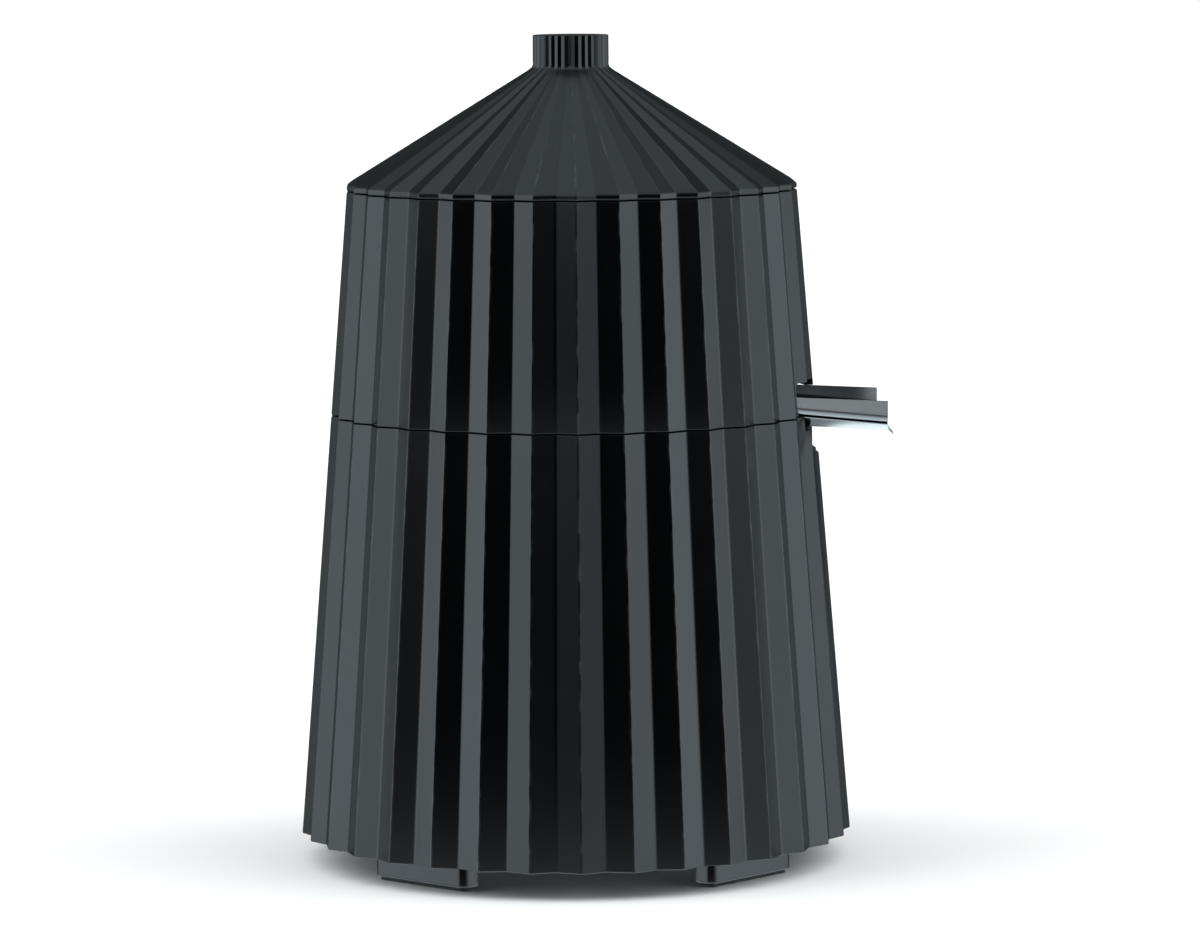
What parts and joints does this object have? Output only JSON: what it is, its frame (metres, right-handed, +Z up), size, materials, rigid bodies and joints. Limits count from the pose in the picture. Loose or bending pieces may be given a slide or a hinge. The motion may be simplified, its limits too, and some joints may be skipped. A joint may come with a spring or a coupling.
{
  "type": "electric citrus squeezer",
  "caption": "Tall pleated charcoal citrus squeezer: tapered motor base, lift-off bowl section with a tilting steel spout, and a conical pleated lid with a narrow neck.",
  "frame": {"origin": "middle of the whole object's box, on the surface it stands on", "axes": "+Z up, the spout points along +X, the pictured front faces -Y"},
  "size_m": [0.1926, 0.18, 0.2685],
  "materials": {
    "casing": "moulded thermoplastic resin, charcoal black, fine satin grain",
    "black_plastic": "moulded plastic, black, matte",
    "bowl_plastic": "moulded plastic, dark grey, semi-gloss, food grade",
    "rubber": "soft rubber, black",
    "satin_steel": "stainless steel sheet, satin",
    "plain_steel": "plain zinc-plated or bright steel",
    "bronze": "sintered bronze and brass",
    "nylon": "natural acetal or nylon",
    "copper": "varnished copper winding and lamination",
    "red_plastic": "thermoset plastic, dark red",
    "grey_plastic": "moulded plastic, grey"
  },
  "bodies": {
    "base": {"base_housing": "casing", "bottom_plate": "black_plastic", "foot_1": "casing", "foot_2": "casing", "foot_3": "casing", "foot_4": "casing", "foot_pad_1": "rubber", "foot_pad_2": "rubber", "foot_pad_3": "rubber", "foot_pad_4": "rubber", "bottom_screw_1": "plain_steel", "bottom_screw_2": "plain_steel", "bottom_screw_3": "plain_steel", "bottom_screw_4": "plain_steel", "cord_gland": "rubber", "terminal_block": "grey_plastic", "capacitor": "grey_plastic", "gear_frame": "black_plastic", "frame_screw_1": "plain_steel", "frame_screw_2": "plain_steel", "frame_screw_3": "plain_steel", "lower_bush": "bronze", "upper_bush": "bronze", "spindle_seal": "rubber", "idler_axle": "plain_steel", "plunger_guide": "black_plastic", "return_spring": "plain_steel", "micro_switch": "red_plastic", "motor_can": "plain_steel", "motor_end_bell": "plain_steel", "motor_stator": "copper", "motor_screw_1": "plain_steel", "motor_screw_2": "plain_steel"},
    "press_plunger": {"switch_plunger": "nylon"},
    "spindle": {"drive_spindle": "plain_steel", "output_gear": "nylon"},
    "idler": {"idler_gear": "nylon"},
    "rotor": {"motor_rotor": "plain_steel", "motor_pinion": "bronze"},
    "switch_arm": {"switch_lever": "plain_steel"},
    "bowl_unit": {"upper_housing": "casing", "juice_bowl": "bowl_plastic", "strainer": "bowl_plastic", "spout_bracket": "black_plastic", "spout_pin_left": "plain_steel", "spout_pin_right": "plain_steel"},
    "spout": {"spout": "satin_steel"},
    "reamer": {"reamer": "bowl_plastic"},
    "lid": {"lid": "casing"}
  },
  "joints": [
    {"name": "reamer_press", "type": "slide", "parent": "base", "child": "press_plunger", "axis": [0, 0, 1], "range_m": [-0.003, 0], "stiffness_N_per_m": 900, "springref_m": 0.005, "deforming": ["return_spring"]},
    {"name": "reamer_spin", "type": "hinge", "parent": "press_plunger", "child": "spindle", "pos_m": [-0.0065, 0, 0.15], "axis": [0, 0, 1], "continuous": true},
    {"name": "reamer_lift", "type": "slide", "parent": "spindle", "child": "reamer", "axis": [0, 0, 1], "range_m": [0, 0.09]},
    {"name": "idler_spin", "type": "hinge", "parent": "base", "child": "idler", "pos_m": [-0.01177, 0.03713, 0.115], "axis": [0, 0, 1], "continuous": true},
    {"name": "rotor_spin", "type": "hinge", "parent": "base", "child": "rotor", "pos_m": [-0.04114, 0.02, 0.09], "axis": [0, 0, 1], "continuous": true},
    {"name": "switch_arm_tilt", "type": "hinge", "parent": "base", "child": "switch_arm", "pos_m": [-0.0065, -0.01, 0.054], "axis": [1, 0, 0], "range_deg": [-17, 0]},
    {"name": "bowl_lift", "type": "slide", "parent": "base", "child": "bowl_unit", "axis": [0, 0, 1], "range_m": [0, 0.09]},
    {"name": "spout_tilt", "type": "hinge", "parent": "bowl_unit", "child": "spout", "pos_m": [0.0535, 0, 0.1495], "axis": [0, -1, 0], "range_deg": [0, 12]},
    {"name": "lid_lift", "type": "slide", "parent": "bowl_unit", "child": "lid", "axis": [0, 0, 1], "range_m": [0, 0.08]}
  ],
  "couplings": [
    {"joint": "reamer_lift", "follows": "bowl_lift", "ratio": 1},
    {"joint": "idler_spin", "follows": "reamer_spin", "ratio": -4},
    {"joint": "rotor_spin", "follows": "reamer_spin", "ratio": 18.667},
    {"joint": "switch_arm_tilt", "follows": "reamer_press", "rad_per_m": 97}
  ]
}
